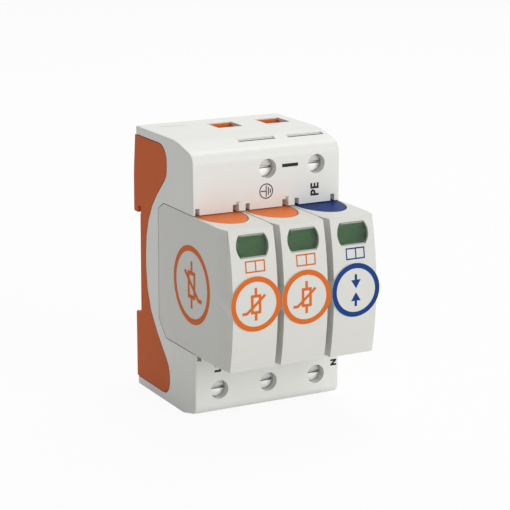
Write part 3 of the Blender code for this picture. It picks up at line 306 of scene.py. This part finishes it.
# Print inks, with the painted highlight and painted shade colours among them
PRINT_AND_PAINTED_LIGHT_COLOURS = {
    "orange_ink": surface("orange_ink", INK_ORANGE, 0.45, tint=0.02, shine=0.08),
    "blue_ink": surface("blue_ink", INK_BLUE, 0.45, tint=0.03, shine=0.08),
    "black_ink": surface("black_ink", BLACK, 0.45, tint=0.05, shine=0.2),
    "painted_highlight": surface("painted_highlight", PAINTED_HIGHLIGHT_GREY, 0.40, tint=0.03, shine=0.2),
    "painted_groove_shade": surface("painted_groove_shade", PAINTED_SHADOW_GREY, 0.45, tint=0.03, shine=0.3),
}
INK_OF = {1: "orange_ink", 2: "orange_ink", 3: "blue_ink"}
SLOT_OF = {part["node"]: part["material_slot"] for part in frame["record"]["subparts"]}


def look_of(node_name):
    """The cartridges' plastic is a little duller than the housing's."""
    if node_name.startswith("cartridge_shell"):
        return MATERIALS["cartridge_white"]
    return MATERIALS[SLOT_OF[node_name]]


def dress(obj, made):
    obj.data.materials.clear()
    obj.data.materials.append(made)


for node_name, node in NODES.items():
    dress(node, look_of(node_name))


# Making pieces


def pole_middle(number):
    return (number - 2) * PITCH


def add_piece(name, shape, body, made, slot=None):
    """A new piece from a bmesh, riding on a body."""
    mesh = bpy.data.meshes.new(name)
    shape.to_mesh(mesh)
    shape.free()
    obj = bpy.data.objects.new(name, mesh)
    bpy.context.scene.collection.objects.link(obj)
    mesh.shade_smooth()
    mesh.set_sharp_from_angle(angle=math.radians(SMOOTH_ANGLE))
    dress(obj, made)
    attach(obj, body)
    return obj


def prism(shape, near_points, far_points):
    """A closed solid between two outlines with as many points."""
    near = [shape.verts.new(point) for point in near_points]
    far = [shape.verts.new(point) for point in far_points]
    shape.faces.new(near)
    shape.faces.new(far[::-1])
    for index in range(len(near)):
        after = (index + 1) % len(near)
        shape.faces.new([near[index], far[index], far[after], near[after]])


def refill(shape, faces):
    """Fills a flat region anew, for when its outline has moved."""
    region = set(faces)
    rim = [edge for edge in shape.edges if len(region.intersection(edge.link_faces)) == 1]
    bridges = [edge for edge in shape.edges if len(region.intersection(edge.link_faces)) == 2]
    bmesh.ops.delete(shape, geom=faces, context="FACES_ONLY")
    bmesh.ops.delete(shape, geom=bridges, context="EDGES")
    bmesh.ops.triangle_fill(shape, edges=rim, use_beauty=True)


def settled_shape(node_name, settle, planes):
    """A copy of a node's shape, its points settled and its flat planes filled anew."""
    shape = bmesh.new()
    shape.from_mesh(NODES[node_name].data)
    bmesh.ops.remove_doubles(shape, verts=shape.verts, dist=SAME_POINT)
    flat = math.radians(FLAT_ANGLE)
    bmesh.ops.dissolve_limit(shape, angle_limit=flat, verts=shape.verts, edges=shape.edges)
    regions = [[face for face in shape.faces if on_plane(face)] for on_plane in planes]
    for vert in shape.verts:
        if settle:
            settle(vert)
    for region in regions:
        refill(shape, region)
    return shape


def finer(node_name, width, segments, chosen, least_angle=38, settle=None, planes=()):
    """A piece in a node's place, with the node's chosen sharp edges rounded."""
    shape = settled_shape(node_name, settle, planes)
    edges = []
    for edge in shape.edges:
        if len(edge.link_faces) != 2 or edge.calc_face_angle() < math.radians(least_angle):
            continue
        if edge.calc_length() > width and chosen(edge):
            edges.append(edge)
    bmesh.ops.bevel(
        shape, geom=edges, offset=width, segments=segments, profile=0.5, affect="EDGES", clamp_overlap=True
    )
    slot = SLOT_OF[node_name]
    piece = add_piece("fine_" + node_name, shape, BODY_OF[node_name], look_of(node_name), slot)
    weights = piece.modifiers.new("weights", "WEIGHTED_NORMAL")
    weights.keep_sharp = True
    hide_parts(node_name)
    return piece


# Which edges are rounded


def middle(edge):
    return (edge.verts[0].co + edge.verts[1].co) / 2


def pole_offset(x):
    """Distance to the right of the nearest pole's middle."""
    pole = min((-PITCH, 0.0, PITCH), key=lambda place: abs(x - place))
    return x - pole


def outside_of_base(edge):
    """Edges on the outer skin of the base, not those of its inner chambers or of the small nibs."""
    place = middle(edge)
    nib_side = 0.0065 < pole_offset(place.x) < 0.0087
    if nib_side and 0.0 < place.z < 0.0264:
        return False
    on_side = abs(place.x) > HALF_WIDTH - 0.0009
    on_end = abs(place.z) > HALF_HEIGHT - 0.0035
    on_front = place.y < -FRONT_SKIN
    return on_side or on_end or on_front


def outside_of_rear(edge):
    place = middle(edge)
    return abs(place.x) > HALF_WIDTH - 0.001 or place.y > -0.001


def before_bay_wall(edge):
    """Edges of a cartridge shell in front of its back plate."""
    return middle(edge).y < -0.0140


def on_cap_top(edge):
    return middle(edge).z > 0.0222


def on_window_face(edge):
    return middle(edge).y < -0.0625


def any_edge(edge):
    return True


# How points are settled before that


def face_y(height, rise=0.0):
    """Depth of the cartridges' curved face at a height."""
    return -FACE_DEPTH + FACE_RADIUS - math.sqrt((FACE_RADIUS + rise) ** 2 - (height - FACE_APEX) ** 2)


def sink_top(vert):
    if vert.co.z > HALF_HEIGHT - PRINT_LIFT:
        vert.co.z -= SINK


def sink_boss(vert):
    near_boss = abs(vert.co.z - BOSS_HEIGHT) < BOSS_RADIUS + PRINT_LIFT
    if near_boss and vert.co.y < face_y(vert.co.z, BOSS_RISE / 2):
        vert.co.y += SINK


def detail_shift(vert):
    """How far the photograph has a notch's or nib's edge to the side of the modelled one."""
    offset = pole_offset(vert.co.x)
    if vert.co.z > 0 and NIB_FROM[0] - PRINT_LIFT < offset < NIB_FROM[1] + PRINT_LIFT:
        share = (offset - NIB_FROM[0]) / (NIB_FROM[1] - NIB_FROM[0])
        return NIB_TO[0] + share * (NIB_TO[1] - NIB_TO[0]) - offset
    for old, new in NOTCH_PLACES:
        if abs(offset - old) < PRINT_LIFT:
            return new - old
    return None


def settle_front(vert):
    """Sinks the top for its print, and sets notches and nibs at the photograph's places."""
    sink_top(vert)
    height = abs(vert.co.z)
    low, high = DETAIL_REACH
    if vert.co.y > -FRONT_SKIN or not BLOCK_FOOT + low < height < BLOCK_FOOT + high:
        return
    shift = detail_shift(vert)
    if shift is None:
        return
    vert.co.x += shift
    if height > BLOCK_FOOT + DETAIL_TOP:
        on_slope = vert.co.z > 0 and -UPPER_FRONT - DETAIL_SLOPE_DEPTH < vert.co.y < -UPPER_FRONT
        vert.co.y += DETAIL_LIFT * FRONT_SLOPE if on_slope else 0.0
        vert.co.z += math.copysign(DETAIL_LIFT, vert.co.z)


def on_upper_front(face):
    for vert in face.verts:
        height = vert.co.z - BLOCK_FOOT
        off_plane = abs(vert.co.y + UPPER_FRONT_FOOT - FRONT_SLOPE * height)
        if height < -PRINT_LIFT or off_plane > PLANE_PLAY:
            return False
    return True


def on_lower_front(face):
    return all(abs(vert.co.y + LOWER_FRONT) < PLANE_PLAY for vert in face.verts)


# Terminal screws


def arc_bar(shape, centre, radius, front, rear, angles):
    """A bar along the depth, with an outline that has a point at each angle."""
    outline = []
    for angle in angles:
        outline.append((centre[0] + radius * math.cos(angle), centre[1] + radius * math.sin(angle)))
    near = [(x, front, z) for x, z in outline]
    far = [(x, rear, z) for x, z in outline]
    prism(shape, near, far)


def screw(level, number, steps=48):
    """A terminal screw with a level slot: two lands on the head, and the shank."""
    side = 1 if level == "upper" else -1
    centre = (pole_middle(number), side * SCREW_HEIGHT)
    face = SCREW_FACE[level]
    seen_face = face + SCREW_SINK
    floor = face + SCREW_SLOT_FLOOR
    head_rear = face + SCREW_HEAD_REAR
    shape = bmesh.new()
    lean = math.asin(SCREW_SLOT / 2 / SCREW_HEAD_RADIUS)
    for turn in (0.0, math.pi):
        start = turn + lean
        end = turn + math.pi - lean
        angles = [start + (end - start) * step / (steps - 1) for step in range(steps)]
        arc_bar(shape, centre, SCREW_HEAD_RADIUS, seen_face, floor, angles)
    rims = [edge for edge in shape.edges if abs(middle(edge).y - seen_face) < SCREW_RIM_PLAY]
    bmesh.ops.bevel(shape, geom=rims, offset=SCREW_RIM, segments=2, profile=0.5, affect="EDGES")
    angles = [2 * math.pi * step / steps for step in range(steps)]
    arc_bar(shape, centre, SCREW_HEAD_RADIUS, floor, head_rear, angles)
    arc_bar(shape, centre, SCREW_SHANK_RADIUS, head_rear, SCREW_END, angles)
    bmesh.ops.recalc_face_normals(shape, faces=shape.faces)
    node_name = f"terminal_screw_{level}_{number}"
    slot = SLOT_OF[node_name]
    piece = add_piece("fine_" + node_name, shape, BODY_OF[node_name], MATERIALS[slot], slot)
    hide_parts(node_name)


# Finer pieces


def finer_housing():
    """The two shells, with the front shell's flat fronts left flat."""
    planes = (on_upper_front, on_lower_front)
    front = finer("front_housing", FRONT_ROUND, 2, outside_of_base, settle=settle_front, planes=planes)
    for polygon in front.data.polygons:
        if polygon.normal.y < -0.999:
            polygon.use_smooth = False
    finer("rear_housing", REAR_ROUND, 2, outside_of_rear)


finer_housing()
for number in (1, 2, 3):
    finer(f"cartridge_shell_{number}", SHELL_ROUND, 3, before_bay_wall, 30, sink_boss)
    finer(f"colour_cap_{number}", CAP_ROUND, 2, on_cap_top)
    finer(f"status_window_{number}", WINDOW_ROUND, 2, on_window_face)
for level, numbers in (("upper", (2, 3)), ("lower", (1, 2, 3))):
    for number in numbers:
        screw(level, number)
        finer(f"clamp_cage_{level}_{number}", CAGE_ROUND, 2, any_edge)
finer("rail_foot", FOOT_ROUND, 2, any_edge)


# Surfaces that carry prints


def on_face(rise):
    def place(u, v, pole):
        return Vector((pole + u, face_y(v, rise) - PRINT_LIFT, v))

    return place


def upper_front(u, v, pole):
    slope = (PRINT_SLOPE_TOP - v) / PRINT_SLOPE_HEIGHT
    return Vector((pole + u, -UPPER_FRONT - PRINT_SLOPE_DEPTH * slope - PRINT_LIFT, v))


def lower_front(u, v, pole):
    return Vector((pole + u, -LOWER_FRONT - PRINT_LIFT, v))


def left_side(u, v, pole):
    """The cartridge's left side, where u runs from its front to its rear."""
    return Vector((pole - SHELL_SIDE - PRINT_LIFT, u, v))


def top_face(u, v, pole):
    return Vector((pole + u, v, HALF_HEIGHT - SINK + PRINT_LIFT))


# Outlines of prints


def ring(centre, outer, inner, steps=96):
    """The quads of a ring."""
    quads = []
    for step in range(steps):
        first = 2 * math.pi * step / steps
        second = 2 * math.pi * (step + 1) / steps
        corners = []
        for radius, angle in ((inner, first), (outer, first), (outer, second), (inner, second)):
            corners.append((centre[0] + radius * math.cos(angle), centre[1] + radius * math.sin(angle)))
        quads.append(corners)
    return quads


def stroke(*points, width):
    """One bar through two or more points, mitred where it bends."""
    left = []
    right = []
    for index, point in enumerate(points):
        here = Vector(point)
        before = here - Vector(points[index - 1]) if index else Vector(points[1]) - here
        after = Vector(points[index + 1]) - here if index < len(points) - 1 else before
        first = Vector((-before.y, before.x)).normalized()
        second = Vector((-after.y, after.x)).normalized()
        push = (first + second) * width / 2 / (1 + first.dot(second))
        left.append(tuple(here + push))
        right.append(tuple(here - push))
    return right + left[::-1]


def box_frame(low, high, width):
    """Four bars round a rectangle."""
    half = width / 2
    return [
        stroke((low[0] - half, low[1]), (high[0] + half, low[1]), width=width),
        stroke((low[0] - half, high[1]), (high[0] + half, high[1]), width=width),
        stroke((low[0], low[1] + half), (low[0], high[1] - half), width=width),
        stroke((high[0], low[1] + half), (high[0], high[1] - half), width=width),
    ]


def varistor_symbol(centre, size, width):
    """The usual circuit symbol of a varistor: a box on its leads, and the slanting stroke over it."""
    x, y = centre
    half_wide = 0.26 * size
    half_high = 0.50 * size
    tail = 0.92 * size
    reach = 0.62 * size
    rise = 0.52 * size
    bars = box_frame((x - half_wide, y - half_high), (x + half_wide, y + half_high), width)
    for way in (1, -1):
        bars.append(stroke((x, y + way * (half_high + width / 2)), (x, y + way * size), width=width))
    slant = stroke((x - tail, y - rise), (x - reach, y - rise), (x + reach, y + rise), width=width)
    return bars, [slant]


def gap_symbol(centre, size, width):
    """The usual circuit symbol of a spark gap: two arrow heads that point at each other."""
    x, y = centre
    half = 0.34 * size
    tip = 0.12 * size
    base = 0.66 * size
    shapes = []
    for way in (1, -1):
        foot = y + way * base
        shapes.append([(x - way * half, foot), (x, y + way * tip), (x + way * half, foot)])
        shapes.append(stroke((x, foot), (x, y + way * size), width=width))
    return shapes, []


# Laying prints down


def printed(name, outlines, place, pole, body, ink, over=()):
    """A print, painted highlight or painted shade from flat outlines, cut into low strips and laid on a
    surface.

    The outlines in over cross the others and lie a layer higher.
    """
    shape = bmesh.new()
    for height, group in ((0, outlines), (1, over)):
        for outline in group:
            shape.faces.new([shape.verts.new((u, v, height)) for u, v in outline])
    heights = [vert.co.y for vert in shape.verts]
    level = min(heights) + STRIP
    while level < max(heights):
        everything = shape.verts[:] + shape.edges[:] + shape.faces[:]
        bmesh.ops.bisect_plane(shape, geom=everything, plane_co=(0, level, 0), plane_no=(0, 1, 0))
        level += STRIP
    origin = place(0, 0, pole)
    upwards = place(0, TRIAL_STEP, pole) - origin
    sideways = place(TRIAL_STEP, 0, pole) - origin
    lift = upwards.cross(sideways).normalized() * LAYER
    for vert in shape.verts:
        vert.co = place(vert.co.x, vert.co.y, pole) + lift * vert.co.z
    return add_piece(name, shape, body, PRINT_AND_PAINTED_LIGHT_COLOURS[ink])


def letters(name, text, height, place, start, weight, spread):
    """A standard terminal mark on the base that reads upwards, start being its lower right corner."""
    data = bpy.data.curves.new(name, "FONT")
    data.body = text
    data.size = height / CAPITAL_SHARE
    data.offset = height * weight
    data.space_character = spread
    data.fill_mode = "FRONT"
    source = bpy.data.objects.new(name + "_source", data)
    bpy.context.scene.collection.objects.link(source)
    graph = bpy.context.evaluated_depsgraph_get()
    mesh = bpy.data.meshes.new_from_object(source.evaluated_get(graph))
    bpy.data.objects.remove(source)
    shape = bmesh.new()
    shape.from_mesh(mesh)
    for vert in shape.verts:
        vert.co = place(start[0] - vert.co.y, start[1] + vert.co.x, 0.0)
    return add_piece(name, shape, "base", PRINT_AND_PAINTED_LIGHT_COLOURS["black_ink"])


# Prints on the cartridges, and painted highlights along their windows' edges


def face_prints(number, symbol):
    """A ring with the pole's circuit symbol on the boss, two empty frames, and pale lines along the
    window's top and bottom edges as painted highlights.
    """
    pole = pole_middle(number)
    body = f"cartridge_{number}"
    ink = INK_OF[number]
    centre = (0.0, BOSS_HEIGHT)
    band = ring(centre, BOSS_RADIUS - RING_MARGIN, BOSS_RADIUS - RING_BAND)
    under, over = symbol(centre, FACE_SYMBOL, FACE_LINE)
    printed(f"face_mark_{number}", band + under, on_face(BOSS_RISE - SINK), pole, body, ink, over)
    frames = box_frame(FRAME_LOW, FRAME_HIGH, FRAME_LINE)
    foot = FRAME_LOW[1] + FRAME_LINE / 2
    top = FRAME_HIGH[1] - FRAME_LINE / 2
    frames.append(stroke((FRAME_MIDDLE, foot), (FRAME_MIDDLE, top), width=FRAME_LINE))
    printed(f"face_frames_{number}", frames, on_face(0.0), pole, body, ink)
    # pale lines just inside the window's top and bottom edges, as painted highlights
    rims = []
    for edge, way in ((WINDOW_LOW, 1), (WINDOW_HIGH, -1)):
        height = edge + way * (RIM_LINE / 2 + RIM_MARGIN)
        rims.append(stroke((-RIM_HALF, height), (RIM_HALF, height), width=RIM_LINE))
    printed(f"painted_window_highlights_{number}", rims, on_face(0.0), pole, body, "painted_highlight")


def side_print(number, symbol):
    """The same ring and symbol, larger, on the cartridge's left side."""
    band = ring(SIDE_CENTRE, SIDE_RADIUS, SIDE_INNER, SIDE_STEPS)
    under, over = symbol(SIDE_CENTRE, SIDE_SYMBOL, SIDE_LINE)
    pole = pole_middle(number)
    body = f"cartridge_{number}"
    printed(f"side_mark_{number}", band + under, left_side, pole, body, INK_OF[number], over)


for number, symbol in ((1, varistor_symbol), (2, varistor_symbol), (3, gap_symbol)):
    face_prints(number, symbol)
    side_print(number, symbol)


# Prints on the housing, and a painted shade line on its top


def earth_print():
    """The protective earth symbol, lying on its side: a ring, a stem and three bars."""
    marks = ring(EARTH, EARTH_RADIUS, EARTH_RADIUS - EARTH_LINE, EARTH_STEPS)
    stem_end = EARTH[0] - EARTH_LINE / 2
    marks.append(stroke((EARTH[0] - EARTH_STEM, EARTH[1]), (stem_end, EARTH[1]), width=EARTH_LINE))
    for offset, half in EARTH_BARS:
        x = EARTH[0] + offset
        marks.append(stroke((x, EARTH[1] - half), (x, EARTH[1] + half), width=EARTH_LINE))
    printed("earth_mark", marks, upper_front, 0.0, "base", "black_ink")


# Name, text, height, surface, lower right corner, added weight and letter spacing
TERMINAL_MARKS = (
    ("mark_pe", "PE", 0.0028, upper_front, (0.0187, 0.0250), 0.055, 1.12),
    ("mark_n", "N", 0.00195, lower_front, (0.0257, -0.0336), 0.10, 1.0),
    ("mark_l1", "L1", 0.0020, lower_front, (-0.0177, -0.0295), 0.11, 1.0),
    ("mark_l2", "L2", 0.0020, lower_front, (0.0003, -0.0301), 0.07, 1.0),
)

earth_print()
printed("link_bar", [stroke(*LINK_BAR, width=LINK_LINE)], upper_front, 0.0, "base", "black_ink")
# a darker line on the top, painted shade of a faint recessed line
printed("painted_top_groove_shade", [stroke(*TOP_GROOVE_SHADOW, width=TOP_LINE)], top_face, 0.0, "base", "painted_groove_shade")
for mark in TERMINAL_MARKS:
    letters(*mark)


# Orange linings inside the upper wire windows


def lining(name, pole):
    """Two thin plates, on the window's rear wall and on a triangle of its right wall, in the rear
    housing's orange painted brighter as painted light.
    """
    top = HALF_HEIGHT - LINING_TOP
    foot = HALF_HEIGHT - LINING_FOOT
    rear = -WIRE_WINDOW_REAR - PRINT_LIFT
    right = pole + WIRE_WINDOW_HALF - PRINT_LIFT
    left = pole - WIRE_WINDOW_HALF + PRINT_LIFT
    rear_wall = [(left, rear, foot), (right, rear, foot), (right, rear, top), (left, rear, top)]
    right_wall = [(right, rear, foot), (right, -LINING_FRONT, foot), (right, rear, top)]
    shape = bmesh.new()
    for corners, inwards in ((rear_wall, (0, -LINING_SKIN, 0)), (right_wall, (-LINING_SKIN, 0, 0))):
        near = [Vector(corner) + Vector(inwards) for corner in corners]
        prism(shape, near, corners)
    bmesh.ops.recalc_face_normals(shape, faces=shape.faces)
    add_piece(name, shape, "base", MATERIALS["painted_light_lining_orange"], "orange_plastic")


# Shelves in the upper block's slots, each leaving a thin gap at the slot's front. Their tops are the
# housing's white painted darker as painted shade, and their front walls, seen in the gap, are painted near
# black as painted shade.


def shelf(name, pole):
    front = -SLOT_FRONT + SHELF_GAP
    rear = -SLOT_REAR - PRINT_LIFT
    half = SLOT_HALF - PRINT_LIFT
    foot = HALF_HEIGHT - SLOT_DEPTH + PRINT_LIFT
    outline = ((front, foot), (rear, foot), (rear, SHELF_REAR_HEIGHT), (front, SHELF_FRONT_HEIGHT))
    left = [(pole - half, y, z) for y, z in outline]
    right = [(pole + half, y, z) for y, z in outline]
    shape = bmesh.new()
    prism(shape, left, right)
    bmesh.ops.recalc_face_normals(shape, faces=shape.faces)
    # the shelf's top is the housing's white painted darker, as painted shade in the slot
    piece = add_piece(name, shape, "base", MATERIALS["painted_shadow_slot_white"], "white_plastic")
    # the shelf's front wall, seen in the gap, gets a near-black colour as painted shade
    piece.data.materials.append(MATERIALS["painted_gap_shadow"])
    for polygon in piece.data.polygons:
        if polygon.normal.y < -0.9:
            polygon.material_index = 1


for number in (2, 3):
    lining(f"window_lining_{number}", pole_middle(number))
for number in (2, 3):
    shelf(f"slot_shelf_{number}", pole_middle(number))


# Studio


def light_path_mix(tree, seen, other, strength):
    """Mixes towards what the camera, reflections and clear parts see."""
    rays = shader_node(tree, "ShaderNodeLightPath", -900, 300)
    first = shader_node(tree, "ShaderNodeMath", -700, 300, operation="MAXIMUM")
    second = shader_node(tree, "ShaderNodeMath", -540, 300, operation="MAXIMUM")
    share = shader_node(tree, "ShaderNodeMath", -380, 300, operation="MULTIPLY")
    share.inputs[1].default_value = strength
    tree.links.new(rays.outputs["Is Camera Ray"], first.inputs[0])
    tree.links.new(rays.outputs["Is Glossy Ray"], first.inputs[1])
    tree.links.new(first.outputs[0], second.inputs[0])
    tree.links.new(rays.outputs["Is Transmission Ray"], second.inputs[1])
    tree.links.new(second.outputs[0], share.inputs[0])
    mix = shader_node(tree, "ShaderNodeMixShader", -120, 120)
    tree.links.new(share.outputs[0], mix.inputs["Fac"])
    tree.links.new(other, mix.inputs[1])
    tree.links.new(seen, mix.inputs[2])
    return mix.outputs[0]


def make_floor():
    bpy.ops.mesh.primitive_plane_add(size=FLOOR_SIZE, location=(0, 0, -HALF_HEIGHT - FLOOR_GAP))
    floor = bpy.context.object
    floor.name = "floor"
    made = bpy.data.materials.new("floor")
    made.use_nodes = True
    tree = made.node_tree
    tree.nodes.remove(tree.nodes["Principled BSDF"])
    output = tree.nodes["Material Output"]
    matte = shader_node(tree, "ShaderNodeBsdfDiffuse", -500, 100)
    matte.inputs["Color"].default_value = (FLOOR_TONE, FLOOR_TONE, FLOOR_TONE, 1)
    glow = shader_node(tree, "ShaderNodeEmission", -500, -100)
    glow.inputs["Color"].default_value = PURE_WHITE
    glow.inputs["Strength"].default_value = 1.0
    seen = light_path_mix(tree, glow.outputs[0], matte.outputs[0], FLOOR_SHARE)
    tree.links.new(seen, output.inputs["Surface"])
    floor.data.materials.append(made)


def make_world():
    world = bpy.data.worlds.new("studio")
    bpy.context.scene.world = world
    world.use_nodes = True
    tree = world.node_tree
    output = tree.nodes["World Output"]
    dim = tree.nodes["Background"]
    dim.inputs["Color"].default_value = WORLD_TONE
    dim.inputs["Strength"].default_value = WORLD_STRENGTH
    bright = shader_node(tree, "ShaderNodeBackground", -500, -200)
    bright.inputs["Color"].default_value = PURE_WHITE
    bright.inputs["Strength"].default_value = 1.0
    seen = light_path_mix(tree, bright.outputs[0], dim.outputs[0], 1.0)
    tree.links.new(seen, output.inputs["Surface"])


def make_lamp(name, place, power):
    data = bpy.data.lights.new(name, "AREA")
    data.shape = "SQUARE"
    data.size = LAMP_SIZE
    data.energy = power
    lamp = bpy.data.objects.new(name, data)
    lamp.location = place
    lamp.rotation_euler = (Vector(LAMP_AIM) - Vector(place)).to_track_quat("-Z", "Y").to_euler()
    bpy.context.scene.collection.objects.link(lamp)


def make_camera():
    yaw, pitch, roll = CAMERA_YAW, CAMERA_PITCH, CAMERA_ROLL
    ahead = Vector((math.sin(yaw) * math.cos(pitch), math.cos(yaw) * math.cos(pitch), -math.sin(pitch)))
    right = Vector((math.cos(yaw), -math.sin(yaw), 0))
    up = right.cross(ahead)
    turned_right = math.cos(roll) * right + math.sin(roll) * up
    turned_up = -math.sin(roll) * right + math.cos(roll) * up
    data = bpy.data.cameras.new("camera")
    data.sensor_width = SENSOR
    data.lens = FOCAL_PIXELS / IMAGE_SIDE * SENSOR
    camera = bpy.data.objects.new("camera", data)
    turn = Matrix((turned_right, turned_up, -ahead)).transposed().to_4x4()
    camera.matrix_world = Matrix.Translation(CAMERA_PLACE) @ turn
    bpy.context.scene.collection.objects.link(camera)
    bpy.context.scene.camera = camera


make_floor()
make_world()
for lamp in LAMPS:
    make_lamp(*lamp)
make_camera()
bpy.context.scene.view_settings.view_transform = "Standard"
